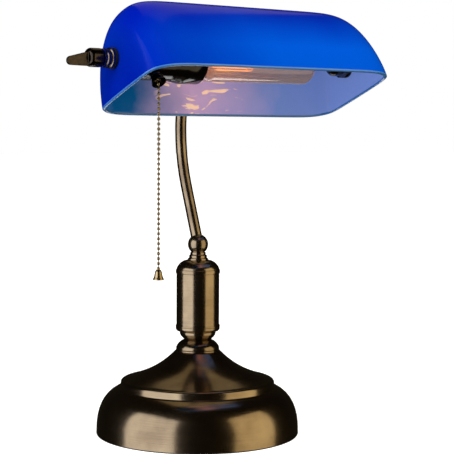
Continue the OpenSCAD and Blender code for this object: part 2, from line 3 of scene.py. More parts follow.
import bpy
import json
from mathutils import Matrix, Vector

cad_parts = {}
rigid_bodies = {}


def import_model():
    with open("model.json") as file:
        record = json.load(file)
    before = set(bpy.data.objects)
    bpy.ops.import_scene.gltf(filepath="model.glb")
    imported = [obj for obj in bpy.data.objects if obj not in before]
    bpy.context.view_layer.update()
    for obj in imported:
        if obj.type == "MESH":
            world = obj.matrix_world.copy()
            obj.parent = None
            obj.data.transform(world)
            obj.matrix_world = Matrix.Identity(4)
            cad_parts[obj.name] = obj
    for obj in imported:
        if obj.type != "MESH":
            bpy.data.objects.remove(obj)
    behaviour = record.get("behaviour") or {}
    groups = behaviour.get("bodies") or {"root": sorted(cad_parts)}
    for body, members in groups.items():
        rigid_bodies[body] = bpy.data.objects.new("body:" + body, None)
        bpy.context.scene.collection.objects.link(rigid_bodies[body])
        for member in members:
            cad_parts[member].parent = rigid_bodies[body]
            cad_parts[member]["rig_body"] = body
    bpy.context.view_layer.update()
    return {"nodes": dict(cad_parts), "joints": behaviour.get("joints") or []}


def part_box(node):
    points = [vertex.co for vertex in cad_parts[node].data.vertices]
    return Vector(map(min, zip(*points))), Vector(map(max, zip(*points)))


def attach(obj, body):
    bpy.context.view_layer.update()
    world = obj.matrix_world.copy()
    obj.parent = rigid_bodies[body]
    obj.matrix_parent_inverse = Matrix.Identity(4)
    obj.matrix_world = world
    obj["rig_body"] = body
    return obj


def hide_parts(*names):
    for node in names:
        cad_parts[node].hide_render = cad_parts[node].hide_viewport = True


bl_info = {
    "name": "Banker desk lamp",
    "version": (1, 0, 0),
    "blender": (4, 5, 0),
    "location": "3D View > Sidebar > Lamp",
    "description": "Builds the glass, metal and chain of a banker desk lamp around its packed model",
    "category": "Add Mesh",
}

import json
from math import asin, cos, exp, pi, radians, sin

import bmesh
import bpy
from bpy.props import FloatProperty, FloatVectorProperty, IntProperty, PointerProperty
from mathutils import Matrix, Vector

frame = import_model()
NODES = frame["nodes"]
JOINTS = {joint["name"]: joint for joint in frame["joints"]}
PIVOT = Vector(JOINTS["shade_tilt"]["pos_m"])
MM = 0.001
MERGE = 0.002 * MM                     # vertices closer than this are one
NOISE_LOW, NOISE_HIGH = 0.3, 0.7       # most values of a noise lie between these


def linear(hexed):
    """An sRGB hex colour as the linear red, green, blue and alpha that Blender's sockets take."""
    channels = [int(hexed[i:i + 2], 16) / 255 for i in (1, 3, 5)]
    even = [c / 12.92 if c <= 0.04045 else ((c + 0.055) / 1.055) ** 2.4 for c in channels]
    return (*even, 1.0)


def colour(label, about, hexed):
    """A colour that a user can change in the panel."""
    return FloatVectorProperty(name=label, description=about, subtype="COLOR", size=4,
                               min=0, max=1, default=linear(hexed))


def length(label, about, millimetres, least, most):
    """A length that a user can change in the panel."""
    return FloatProperty(name=label, description=about, subtype="DISTANCE", unit="LENGTH",
                         default=millimetres * MM, min=least * MM, max=most * MM)


class LampSizes(bpy.types.PropertyGroup):
    """Sizes of the pieces that are made here and not carried over from the model."""
    glass_thickness: length("Glass thickness", "Thickness of the shade's glass", 3, 2.6, 3.4)
    glass_corner: length("Glass corner", "Softness of the corner between long sides and ends", 5, 1, 8)
    bead: length("Bead", "Diameter of one bead of the pull chain", 2.7, 2.4, 3)
    bead_pitch: length("Bead pitch", "Distance from one bead to the next", 3.95, 3.6, 4.4)
    link_wire: length("Link wire", "Diameter of the wire between two beads", 0.8, 0.5, 1)
    filament_wire: length("Filament wire", "Diameter of the bulb's filament", 0.5, 0.2, 0.7)
    filament_cage: length("Filament cage", "Radius of the circle that the strands stand on", 6.2, 4, 8)
    filament_strands: IntProperty(name="Filament strands", default=10, min=4, max=16,
                                  description="Straight strands in the filament's cage")


class LampColours(bpy.types.PropertyGroup):
    """Colours of the finishes, with the painted light and shade of the glass and its casing."""
    cobalt: colour("Cobalt", "Outer glass of the shade", "#0010A2")
    cobalt_painted_sheen: colour("Light cobalt", "Outer glass towards its foot and its far end", "#0058DC")
    rim: colour("Rim", "Ground and polished edge of the glass", "#2F78D6")
    casing_painted_shade_teal: colour("Teal casing", "Inner white casing near the pull chain", "#045288")
    casing_painted_bulb_light: colour("Lilac casing", "Inner white casing over the bulb", "#C0A2CA")
    casing_painted_far_light: colour("Blue casing", "Inner white casing at the far end", "#6C84C0")
    casing_painted_warm_light: colour("Warm casing", "Warm patches of the inner casing by the filament", "#FFD8B8")
    bronze_dark: colour("Dark bronze", "Darkened lacquer of the brass", "#685845")
    bronze_light: colour("Light bronze", "Lighter patches of the brass", "#A89679")
    chain_brass: colour("Chain brass", "Beads and bell of the pull chain", "#B8A47C")
    filament: colour("Filament glow", "Light of the filament", "#FF8A2A")
    floor: colour("Floor", "Paper that the lamp stands on", "#F4F3F1")


class StageSettings(bpy.types.PropertyGroup):
    """Where the camera stands and how it looks at the lamp."""
    camera_turn: FloatProperty(name="Camera turn", description="Angle round the lamp from its front",
                               subtype="ANGLE", default=radians(-36.25))
    camera_distance: length("Camera distance", "From the base's axis to the camera", 1228.67, 500, 3000)
    camera_height: length("Camera height", "Height of the camera over the floor", 266.07, 50, 900)
    camera_yaw: FloatProperty(name="Camera yaw", description="Aim to the side of the base's axis",
                              subtype="ANGLE", default=radians(-1.18))
    camera_pitch: FloatProperty(name="Camera pitch", description="Aim below the horizon",
                                subtype="ANGLE", default=radians(-3.93))
    camera_roll: FloatProperty(name="Camera roll", description="Lean of the camera",
                               subtype="ANGLE", default=radians(0.31))
    camera_lens: FloatProperty(name="Lens", description="Focal length in millimetres on a 36 mm sensor",
                               default=111.46, min=35, max=200)


# ---- small helpers ----

def add(tree, kind, feeds=None, stops=None, **settings):
    """Adds a node with its settings. Feeds are values or links for its inputs, stops fill a colour ramp."""
    made = tree.nodes.new(kind)
    for setting, value in settings.items():
        setattr(made, setting, value)
    for socket, value in (feeds or {}).items():
        if isinstance(value, bpy.types.NodeSocket):
            tree.links.new(value, made.inputs[socket])
        else:
            made.inputs[socket].default_value = value
    if stops:
        band = made.color_ramp.elements
        while len(band) < len(stops):
            band.new(0.5)
        for stop, (place, shade) in zip(band, stops):
            stop.position = place
            stop.color = shade
    return made


def linked(made):
    """Puts a new object into the scene."""
    bpy.context.scene.collection.objects.link(made)
    return made


def solid(name, points, faces, materials, indices=None):
    """A mesh object from its points and faces, in the lamp's own frame."""
    mesh = bpy.data.meshes.new(name)
    mesh.from_pydata(points, [], faces)
    for material in materials:
        mesh.materials.append(material)
    if indices:
        mesh.polygons.foreach_set("material_index", indices)
    mesh.validate()
    mesh.shade_smooth()
    mesh.update()
    return linked(bpy.data.objects.new(name, mesh))


def evaluated_mesh(source, name):
    """The result of an object's modifiers as a plain mesh object, in place of the source."""
    bpy.context.view_layer.update()
    ready = source.evaluated_get(bpy.context.evaluated_depsgraph_get())
    mesh = bpy.data.meshes.new_from_object(ready)
    mesh.name = name
    bpy.data.objects.remove(source)
    if not mesh.polygons:
        raise RuntimeError(f"{name} came out empty")
    return linked(bpy.data.objects.new(name, mesh))


def run_tree(source, tree, values, name):
    """Runs a Geometry Nodes tree on an object with its named inputs set. Returns the plain mesh object."""
    modifier = source.modifiers.new(tree.name, "NODES")
    modifier.node_group = tree
    for item in tree.interface.items_tree:
        if item.item_type == "SOCKET" and item.in_out == "INPUT" and item.name in values:
            modifier[item.identifier] = values[item.name]
    return evaluated_mesh(source, name)


def new_tree(name, inputs):
    """An empty Geometry Nodes tree with the named inputs, and the outputs of its group input node."""
    tree = bpy.data.node_groups.new(name, "GeometryNodeTree")
    tree.interface.new_socket("Geometry", in_out="INPUT", socket_type="NodeSocketGeometry")
    for label, kind in inputs:
        tree.interface.new_socket(label, in_out="INPUT", socket_type="NodeSocket" + kind)
    tree.interface.new_socket("Geometry", in_out="OUTPUT", socket_type="NodeSocketGeometry")
    return tree, add(tree, "NodeGroupInput").outputs


def close_tree(tree, geometry, material):
    """Ends a tree in Realize Instances, smooth faces and Set Material."""
    real = add(tree, "GeometryNodeRealizeInstances", {"Geometry": geometry})
    smooth = add(tree, "GeometryNodeSetShadeSmooth", {"Geometry": real.outputs[0]})
    painted = add(tree, "GeometryNodeSetMaterial",
                  {"Geometry": smooth.outputs[0], "Material": material})
    add(tree, "NodeGroupOutput", {0: painted.outputs[0]})


def polyline(name, points):
    """A mesh object that holds only a line through the points, for a tree to work on."""
    mesh = bpy.data.meshes.new(name)
    mesh.from_pydata(points, [(i, i + 1) for i in range(len(points) - 1)], [])
    return linked(bpy.data.objects.new(name, mesh))


def merged_copy(node, name):
    """A copy of a CAD node's mesh with its loose triangles joined."""
    work = bmesh.new()
    work.from_mesh(NODES[node].data)
    bmesh.ops.remove_doubles(work, verts=work.verts, dist=MERGE)
    work.verts.index_update()
    points = [vertex.co.copy() for vertex in work.verts]
    faces = [[vertex.index for vertex in face.verts] for face in work.faces]
    work.free()
    mesh = bpy.data.meshes.new(name)
    mesh.from_pydata(points, [], faces)
    mesh.validate()
    return linked(bpy.data.objects.new(name, mesh))


def stand_for(piece, slot, *nodes):
    """Puts a finished piece on the body of the CAD nodes that it stands for."""
    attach(piece, NODES[nodes[0]]["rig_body"])
    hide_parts(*nodes)


def finish_node(node, material, slot, crease=34):
    """Stands a smooth copy of a CAD node in its place, creased at angles over that many degrees."""
    piece = merged_copy(node, node + "_finished")
    piece.data.materials.append(material)
    piece.data.shade_smooth()
    piece.data.set_sharp_from_angle(angle=radians(crease))
    stand_for(piece, slot, node)
    return piece


def dress(material, *nodes):
    """Gives CAD nodes that stay as they are their material."""
    for node in nodes:
        NODES[node].data.materials.clear()
        NODES[node].data.materials.append(material)


def colours():
    return bpy.context.scene.lamp_colours


def sizes():
    return bpy.context.scene.lamp_sizes


# ---- patterns and finishes ----

def shader(name, **sockets):
    """A new material with constants on its shader's own sockets. An underscore stands for a space."""
    material = bpy.data.materials.new(name)
    material.use_nodes = True
    surface = material.node_tree.nodes["Principled BSDF"]
    for socket, value in sockets.items():
        surface.inputs[socket.replace("_", " ")].default_value = value
    return material, material.node_tree, surface


def mottle(tree, size, detail=2.0, stretch=(1, 1, 1)):
    """A noise with features of that size in millimetres, drawn out along an axis of small stretch."""
    place = add(tree, "ShaderNodeTexCoord")
    spread = add(tree, "ShaderNodeMapping", {"Vector": place.outputs["Object"], "Scale": stretch})
    noise = add(tree, "ShaderNodeTexNoise",
                {"Vector": spread.outputs[0], "Scale": 1 / (size * MM), "Detail": detail})
    return noise.outputs[0]


def between(tree, amount, low, high):
    """A number from low to high as a noise goes through most of its values."""
    return add(tree, "ShaderNodeMapRange", {"Value": amount, "From Min": NOISE_LOW, "From Max": NOISE_HIGH,
                                            "To Min": low, "To Max": high}).outputs[0]


def mixed(tree, amount, first, second):
    """A colour between two colours."""
    return add(tree, "ShaderNodeMix", {0: amount, 6: first, 7: second}, data_type="RGBA").outputs[2]


def bump(tree, surface, height, depth):
    """Raises a surface by a pattern, to a depth in millimetres."""
    raised = add(tree, "ShaderNodeBump", {"Height": height, "Distance": depth * MM, "Strength": 1.0})
    tree.links.new(raised.outputs[0], surface.inputs["Normal"])


_made = {}


def finish(recipe):
    """The material that a recipe makes, made once."""
    if recipe.__name__ not in _made:
        _made[recipe.__name__] = recipe()
    return _made[recipe.__name__]


def turned_antique_brass():
    """Spun and turned brass, darkened and lacquered: warm brown metal with fine rings left by the lathe."""
    material, tree, surface = shader("turned_antique_brass", Metallic=1.0, Coat_Weight=0.1,
                                     Coat_Roughness=0.12)
    rings = mottle(tree, 0.5, 3.0, (0.012, 0.012, 1))       # lathe marks, drawn coarser than real
    cloud = mottle(tree, 28, 4.0)
    base = mixed(tree, between(tree, cloud, 0.15, 0.85), colours().bronze_dark, colours().bronze_light)
    tree.links.new(mixed(tree, between(tree, rings, 0.0, 0.35), base, colours().bronze_light),
                   surface.inputs["Base Color"])
    tree.links.new(between(tree, rings, 0.16, 0.22), surface.inputs["Roughness"])
    bump(tree, surface, rings, 0.018)
    return material


def drawn_antique_brass():
    """Drawn brass tube and cast fittings in the same dark lacquer: smoother, without lathe rings."""
    material, tree, surface = shader("drawn_antique_brass", Metallic=1.0, Coat_Weight=0.25,
                                     Coat_Roughness=0.1)
    cloud = mottle(tree, 16, 4.0)
    grain = mottle(tree, 0.8, 2.0)
    patches = between(tree, cloud, 0.2, 0.8)
    tree.links.new(mixed(tree, patches, colours().bronze_dark, colours().bronze_light),
                   surface.inputs["Base Color"])
    tree.links.new(between(tree, grain, 0.17, 0.27), surface.inputs["Roughness"])
    bump(tree, surface, grain, 0.008)
    return material


def painted_shade_brass():
    """Small cast fittings of the pivot: the same lacquered brass in painted shade, near black, with small
    highlights.
    """
    material, tree, surface = shader("painted_shade_brass", Metallic=1.0, Coat_Weight=0.3,
                                     Coat_Roughness=0.08)
    skin = mottle(tree, 2.5, 3.0)
    # painted shade: a near black copy of the dark bronze, for the darker look of these fittings
    tree.links.new(mixed(tree, between(tree, skin, 0.0, 0.3), linear("#2A241E"), colours().bronze_dark),
                   surface.inputs["Base Color"])
    tree.links.new(between(tree, skin, 0.14, 0.24), surface.inputs["Roughness"])
    bump(tree, surface, skin, 0.02)
    return material


def polished_chain_brass():
    """Rolled brass beads, bright and smooth, with slightly duller patches."""
    material, tree, surface = shader("polished_chain_brass", Metallic=1.0)
    wear = mottle(tree, 5, 3.0)
    tree.links.new(mixed(tree, between(tree, wear, 0.0, 0.45), colours().chain_brass, linear("#8C7648")),
                   surface.inputs["Base Color"])
    tree.links.new(between(tree, wear, 0.12, 0.3), surface.inputs["Roughness"])
    return material


def stamped_brass():
    """Bare stamped brass of the lampholder's inner parts: yellow, with a dull mill finish."""
    material, tree, surface = shader("stamped_brass", Metallic=1.0)
    mill = mottle(tree, 1.2, 3.0, (0.1, 1, 1))
    tree.links.new(mixed(tree, mill, linear("#C09A52"), linear("#9C783A")), surface.inputs["Base Color"])
    tree.links.new(between(tree, mill, 0.28, 0.45), surface.inputs["Roughness"])
    return material


def zinc_plated_steel():
    """Zinc plated steel of rods, nuts and screws: blue grey metal with a faint mottle."""
    material, tree, surface = shader("zinc_plated_steel", Metallic=1.0)
    spangle = mottle(tree, 3, 2.0)
    tree.links.new(mixed(tree, spangle, linear("#A9ABB0"), linear("#8C8F96")), surface.inputs["Base Color"])
    tree.links.new(between(tree, spangle, 0.3, 0.45), surface.inputs["Roughness"])
    return material


def nickel_plate():
    """Nickel plated brass of the bulb's cap: warm bright metal."""
    material, tree, surface = shader("nickel_plate", Metallic=1.0)
    haze = mottle(tree, 4, 2.0)
    tree.links.new(mixed(tree, haze, linear("#C9C6BE"), linear("#AFAAA0")), surface.inputs["Base Color"])
    tree.links.new(between(tree, haze, 0.14, 0.26), surface.inputs["Roughness"])
    return material


def pressed_felt():
    """Pressed wool felt under the base: near black fibres with no gloss."""
    material, tree, surface = shader("pressed_felt", Roughness=0.95, Sheen_Weight=0.1, Sheen_Roughness=0.5)
    fibres = mottle(tree, 0.7, 5.0)
    tree.links.new(mixed(tree, fibres, linear("#0B0908"), linear("#181410")), surface.inputs["Base Color"])
    bump(tree, surface, fibres, 0.25)
    return material


def cast_iron():
    """Cast iron weight inside the base: dark grey with a sandy skin."""
    material, tree, surface = shader("cast_iron", Metallic=0.6)
    sand = mottle(tree, 1.1, 4.0)
    tree.links.new(mixed(tree, sand, linear("#2A2A2C"), linear("#3C3B3B")), surface.inputs["Base Color"])
    tree.links.new(between(tree, sand, 0.6, 0.8), surface.inputs["Roughness"])
    bump(tree, surface, sand, 0.2)
    return material


def moulded_rubber():
    """Moulded black rubber of the bushes and the cable grommet: dull, with a faint bloom."""
    material, tree, surface = shader("moulded_rubber")
    bloom = mottle(tree, 2.5, 3.0)
    tree.links.new(mixed(tree, bloom, linear("#121212"), linear("#1E1D1C")), surface.inputs["Base Color"])
    tree.links.new(between(tree, bloom, 0.55, 0.75), surface.inputs["Roughness"])
    return material


def nylon():
    """Moulded natural nylon of the terminal block: milky off white."""
    material, tree, surface = shader("nylon", IOR=1.53, Subsurface_Weight=0.2, Subsurface_Scale=0.002)
    flow = mottle(tree, 6, 2.0)
    tree.links.new(mixed(tree, flow, linear("#E2DED0"), linear("#D2CDBC")), surface.inputs["Base Color"])
    tree.links.new(between(tree, flow, 0.4, 0.5), surface.inputs["Roughness"])
    return material


def braided_sleeve():
    """Glass fibre sleeve over the inner wires: off white, with a fine crossed weave."""
    material, tree, surface = shader("braided_sleeve", Roughness=0.8)
    weave = mottle(tree, 0.6, 1.0)
    tree.links.new(mixed(tree, weave, linear("#EFEDE4"), linear("#CFCABB")), surface.inputs["Base Color"])
    bump(tree, surface, weave, 0.1)
    return material


def black_bakelite():
    """Compression moulded phenolic shell of the lampholder: black, polished by its mould."""
    material, tree, surface = shader("black_bakelite", IOR=1.6, Specular_IOR_Level=0.3)
    swirl = mottle(tree, 9, 4.0)
    tree.links.new(mixed(tree, swirl, linear("#050404"), linear("#0E0B09")), surface.inputs["Base Color"])
    tree.links.new(between(tree, swirl, 0.10, 0.18), surface.inputs["Roughness"])
    return material


def brown_phenolic():
    """Moulded brown phenolic of the switch and socket core: dull, with dark flecks of filler."""
    material, tree, surface = shader("brown_phenolic", IOR=1.6)
    filler = mottle(tree, 1.0, 4.0)
    tree.links.new(mixed(tree, filler, linear("#2E1F16"), linear("#4A3424")), surface.inputs["Base Color"])
    tree.links.new(between(tree, filler, 0.4, 0.6), surface.inputs["Roughness"])
    return material


def blown_glass():
    """Clear blown glass of the bulb: thin, with the slightest ripple and a milky warm tint of painted glow.
    """
    material, tree, surface = shader("blown_glass", Transmission_Weight=0.72, Roughness=0.02, IOR=1.45)
    ripple = mottle(tree, 22, 1.0)
    # the milky warm tint is painted glow of the lit bulb
    tree.links.new(mixed(tree, ripple, linear("#FFE6DA"), linear("#FFF2EA")), surface.inputs["Base Color"])
    bump(tree, surface, ripple, 0.05)
    return material


def glowing_filament():
    """Carbon filament, lit: an orange glow that is a little hotter in places."""
    material, tree, surface = shader("glowing_filament", Roughness=0.6, Emission_Strength=3.0)
    heat = mottle(tree, 4, 1.0)
    glow = mixed(tree, heat, colours().filament, linear("#FFB45A"))
    tree.links.new(glow, surface.inputs["Emission Color"])
    tree.links.new(glow, surface.inputs["Base Color"])
    return material


def cobalt_glass():
    """Blown cobalt glass over a white casing: painted shade by the chain and crest, a painted sheen
    elsewhere.
    """
    material, tree, surface = shader("cobalt_glass", Roughness=0.18, IOR=1.35, Specular_IOR_Level=0.4,
                                     Specular_Tint=linear("#1458FF"))
    place = add(tree, "ShaderNodeTexCoord")
    split = add(tree, "ShaderNodeSeparateXYZ", {0: place.outputs["Object"]})
    chain_end, middle = -0.13, 0.0       # the painted sheen comes in between these places along the shade
    high, low = 0.367, 0.335             # and between these heights
    faintest = 0.1                       # each of the two fades it down to this share
    along = add(tree, "ShaderNodeMapRange", {"Value": split.outputs[0], "From Min": chain_end,
                                             "From Max": middle, "To Min": faintest, "To Max": 1.0})
    down = add(tree, "ShaderNodeMapRange", {"Value": split.outputs[2], "From Min": high,
                                            "From Max": low, "To Min": faintest, "To Max": 1.0})
    both = add(tree, "ShaderNodeMath", {0: along.outputs[0], 1: down.outputs[0]}, operation="MULTIPLY")
    drift = between(tree, mottle(tree, 60, 1.0), -0.08, 0.08)
    amount = add(tree, "ShaderNodeMath", {0: both.outputs[0], 1: drift}, operation="ADD", use_clamp=True)
    # painted light: the outer glass turns from deep blue in painted shade to a painted sheen
    tree.links.new(mixed(tree, amount.outputs[0], colours().cobalt, colours().cobalt_painted_sheen),
                   surface.inputs["Base Color"])
    bump(tree, surface, mottle(tree, 45, 0.0), 0.2)
    return material


def polished_glass_edge():
    """Edge of the glass, ground and polished: pale blue and glossy."""
    material, tree, surface = shader("polished_glass_edge", Roughness=0.12, IOR=1.52)
    run = mottle(tree, 20, 2.0)
    tree.links.new(mixed(tree, run, colours().rim, linear("#5C9AE0")), surface.inputs["Base Color"])
    return material


def opal_casing():
    """White opal layer inside the shade, tinted with painted light: painted shade by the chain, lilac bulb
    light, warm patches by the filament.
    """
    # The casing glows a little in its own colours: painted light of the bulb.
    material, tree, surface = shader("opal_casing", Roughness=0.14, IOR=1.5, Emission_Strength=0.5,
                                     Specular_IOR_Level=0.4)
    place = add(tree, "ShaderNodeTexCoord")
    split = add(tree, "ShaderNodeSeparateXYZ", {0: place.outputs["Object"]})
    reach = 0.125                        # about half of the shade's length
    along = add(tree, "ShaderNodeMapRange", {"Value": split.outputs[0], "From Min": -reach,
                                             "From Max": reach}).outputs[0]
    drift = between(tree, mottle(tree, 40, 3.0), -0.05, 0.05)
    bent = add(tree, "ShaderNodeMath", {0: drift, 1: along}, operation="ADD")
    band = add(tree, "ShaderNodeValToRGB", {0: bent.outputs[0]},
               stops=[(0.16, colours().casing_painted_shade_teal), (0.4, colours().casing_painted_bulb_light),
                      (0.75, colours().casing_painted_far_light)])
    drawn = add(tree, "ShaderNodeMapping", {"Vector": place.outputs["Object"], "Scale": (0.5, 1, 1.5)})
    splash = add(tree, "ShaderNodeTexNoise", {"Vector": drawn.outputs[0], "Scale": 75.0, "Detail": 2.0,
                                              "Distortion": 1.2})
    # The warm patches are painted light of the filament, standing in for its caustics.
    # The patches have an edge where the noise passes a narrow range, and fade in and out along the shade.
    patch = add(tree, "ShaderNodeMapRange", {"Value": splash.outputs[0], "From Min": 0.56, "From Max": 0.59})
    begin = add(tree, "ShaderNodeMapRange", {"Value": along, "From Min": 0.24, "From Max": 0.3})
    end = add(tree, "ShaderNodeMapRange", {"Value": along, "From Min": 0.62, "From Max": 0.54})
    within = add(tree, "ShaderNodeMath", {0: begin.outputs[0], 1: end.outputs[0]}, operation="MULTIPLY")
    warm = add(tree, "ShaderNodeMath", {0: patch.outputs[0], 1: within.outputs[0]}, operation="MULTIPLY")
    tint = mixed(tree, warm.outputs[0], band.outputs[0], colours().casing_painted_warm_light)
    tree.links.new(tint, surface.inputs["Base Color"])
    tree.links.new(tint, surface.inputs["Emission Color"])
    return material


def studio_paper():
    """White paper under the lamp, glowing a little. Only the camera sees it, so metal doesn't mirror it."""
    material, tree, surface = shader("studio_paper", Roughness=0.9, Specular_IOR_Level=0.0,
                                     Emission_Strength=0.62)
    tooth = mottle(tree, 2.0, 3.0)
    tint = mixed(tree, tooth, colours().floor, linear("#FBFAF8"))
    tree.links.new(tint, surface.inputs["Base Color"])
    tree.links.new(tint, surface.inputs["Emission Color"])
    ray = add(tree, "ShaderNodeLightPath")
    through = add(tree, "ShaderNodeBsdfTransparent")
    seen = add(tree, "ShaderNodeMixShader", {0: ray.outputs["Is Camera Ray"], 1: through.outputs[0],
                                             2: surface.outputs[0]})
    tree.links.new(seen.outputs[0], tree.nodes["Material Output"].inputs[0])
    return material


# ---- stage ----

def camera_matrix(stage):
    """The camera's place and aim: it stands round the base's axis, and looks a little past it."""
    turn = stage.camera_turn
    away = stage.camera_distance
    place = Vector((sin(turn) * away, -cos(turn) * away, stage.camera_height))
    aim = turn + stage.camera_yaw
    forward = Vector((-sin(aim) * cos(stage.camera_pitch), cos(aim) * cos(stage.camera_pitch),
                      sin(stage.camera_pitch)))
    right = Vector((cos(aim), sin(aim), 0))
    up = right.cross(forward)
    lean = stage.camera_roll
    across = right * cos(lean) + up * sin(lean)
    upright = -right * sin(lean) + up * cos(lean)
    matrix = Matrix((across, upright, -forward)).transposed().to_4x4()
    matrix.translation = place
    return matrix


def panel_light(name, turn, height, distance, size, watts, tint="#FFFFFF"):
    """A soft box at an angle in degrees round the lamp, aimed near the lamp's middle."""
    light = bpy.data.lights.new(name, "AREA")
    light.shape = "RECTANGLE"
    light.size, light.size_y = size
    light.energy = watts
    light.color = linear(tint)[:3]
    lamp = linked(bpy.data.objects.new(name, light))
    angle = radians(turn)
    lamp.location = (sin(angle) * distance, -cos(angle) * distance, height)
    aim = Vector((0, 0, 0.2)) - lamp.location
    lamp.rotation_euler = aim.to_track_quat("-Z", "Y").to_euler()


class LAMP_OT_stage(bpy.types.Operator):
    """Make the camera, the floor and the lights"""
    bl_idname = "lamp.stage"
    bl_label = "Stage"

    def execute(self, context):
        stage = context.scene.lamp_stage
        camera = linked(bpy.data.objects.new("camera", bpy.data.cameras.new("camera")))
        camera.data.sensor_width = 36
        camera.data.lens = stage.camera_lens
        camera.data.clip_start = 0.05
        camera.matrix_world = camera_matrix(stage)
        context.scene.camera = camera
        context.scene.view_settings.view_transform = "Standard"

        reach = 12
        corners = [(-reach, -reach, 0), (reach, -reach, 0), (reach, reach, 0), (-reach, reach, 0)]
        floor = solid("floor", corners, [(0, 1, 2, 3)], [finish(studio_paper)])

        world = bpy.data.worlds.new("studio")
        world.use_nodes = True
        context.scene.world = world
        tree = world.node_tree
        tree.nodes.clear()
        seen = add(tree, "ShaderNodeBackground", {"Color": linear("#FFFFFF"), "Strength": 1.0})
        room = add(tree, "ShaderNodeBackground", {"Color": linear("#DCC8A8"), "Strength": 0.016})
        ray = add(tree, "ShaderNodeLightPath")
        choice = add(tree, "ShaderNodeMixShader", {0: ray.outputs["Is Camera Ray"], 1: room.outputs[0],
                                                   2: seen.outputs[0]})
        add(tree, "ShaderNodeOutputWorld", {"Surface": choice.outputs[0]})

        sun = bpy.data.lights.new("overhead", "SUN")
        sun.energy = 2.9
        sun.angle = radians(50)
        over = linked(bpy.data.objects.new("overhead", sun))
        over.rotation_euler = Vector((0.35, 0.55, -1)).to_track_quat("-Z", "Y").to_euler()
        over.visible_glossy = False                # leaves no disc in the metal
        panel_light("left_box", -92, 0.2, 1.5, (1.8, 2.4), 26, "#F8F8FF")
        panel_light("right_box", 32, 0.2, 1.5, (1.5, 2.4), 13.5, "#FFE9BC")
        panel_light("top_box", 144, 1.4, 0.7, (0.8, 1.3), 1.1, "#FFE9BC")
        panel_light("table_bounce", 144, -0.6, 0.6, (0.9, 0.45), 3.6)
        return {"FINISHED"}


# ---- pull chain ----

def chain_tree():
    """Beads at an even pitch along a line, with a wire through them."""
    tree, given = new_tree("bead_chain", [("Bead radius", "Float"), ("Pitch", "Float"),
                                          ("Wire radius", "Float"), ("Metal", "Material")])
    line = add(tree, "GeometryNodeMeshToCurve", {"Mesh": given["Geometry"]})
    spaced = add(tree, "GeometryNodeResampleCurve", {"Curve": line.outputs[0], "Length": given["Pitch"]},
                 mode="LENGTH")
    ball = add(tree, "GeometryNodeMeshUVSphere",
               {"Segments": 16, "Rings": 10, "Radius": given["Bead radius"]})
    beads = add(tree, "GeometryNodeInstanceOnPoints",
                {"Points": spaced.outputs[0], "Instance": ball.outputs[0]})
    section = add(tree, "GeometryNodeCurvePrimitiveCircle",
                  {"Resolution": 8, "Radius": given["Wire radius"]})
    wire = add(tree, "GeometryNodeCurveToMesh",
               {"Curve": line.outputs[0], "Profile Curve": section.outputs[0], "Fill Caps": True})
    both = add(tree, "GeometryNodeJoinGeometry", {0: beads.outputs[0]})
    tree.links.new(wire.outputs[0], both.inputs[0])
    close_tree(tree, both.outputs[0], given["Metal"])
    return tree


def chain_route():
    """The chain's middle line: out along its mouth, then down to its bell."""
    across = -92
    line = [(-67.5, 309.2), (-68.8, 307.8), (-70, 306.2), (-71, 304.2), (-71.7, 301.8), (-72.1, 298.6),
            (-72.2, 294), (-72.2, 288), (-72.2, 275), (-72.2, 255), (-72.2, 235), (-72.2, 215), (-72.2, 195),
            (-72.2, 175), (-72.2, 156)]
    return [(across * MM, y * MM, z * MM) for y, z in line]


class LAMP_OT_chain(bpy.types.Operator):
    """Make the pull chain of beads and its bell"""
    bl_idname = "lamp.chain"
    bl_label = "Pull chain"

    def execute(self, context):
        size = sizes()
        metal = finish(polished_chain_brass)
        route = chain_route()
        values = {"Bead radius": size.bead / 2, "Pitch": size.bead_pitch,
                  "Wire radius": size.link_wire / 2, "Metal": metal}
        chain = run_tree(polyline("chain_line", route), chain_tree(), values, "bead_chain")
        bell = finish_node("chain_bell", metal, "chain_brass", 50)
        stand_for(chain, "chain_brass", "pull_chain")
        return {"FINISHED"}


# ---- shade ----

SHADE_X, SHADE_Y, SHADE_HEIGHT = 124.5, 50, 75.28     # half length, half width and height, in mm
SHADE_SPREAD = 6.2                                    # how far the uncut ends would reach past SHADE_X
END_POWER, SIDE_POWER, CREST_POWER = 12, 2.3, 1.5     # of the superellipses, a higher one is squarer
SHADE_DROP, SHADE_SHIFT = 29.7, -5.4                  # from the pivot to the middle of the foot, in mm
SHADE_LEAN = -22.7                                    # of the whole shade at rest, in degrees


def power(value, exponent):
    """A signed power, for the superellipses of the shade."""
    return abs(value) ** exponent * (1 if value >= 0 else -1)


def soft_limit(x, limit, corner, most):
    """x, kept inside the limit on both sides by a soft corner. It reaches the limit where x is most."""
    start = limit - corner
    if abs(x) <= start:
        return x
    eased = (1 - exp(-(abs(x) - start) / corner)) / (1 - exp(-(most - start) / corner))
    return (start + corner * eased) * (1 if x > 0 else -1)


def trough_point(u, v, inset, lift, corner):
    """A point of the shade at plan angle u and section angle v, in mm from the pivot before it leans."""
    rest = max(cos(v), 0) ** 2
    widest = SHADE_X + SHADE_SPREAD - inset
    x = widest * rest ** (1 / END_POWER) * power(cos(u), 2 / END_POWER)
    y = (SHADE_Y - inset) * rest ** (1 / SIDE_POWER) * power(sin(u), 2 / SIDE_POWER)
    z = (SHADE_HEIGHT - inset) * sin(v) ** (2 / CREST_POWER) + lift
    return soft_limit(x, SHADE_X - inset, corner, widest), y + SHADE_SHIFT, z - SHADE_DROP


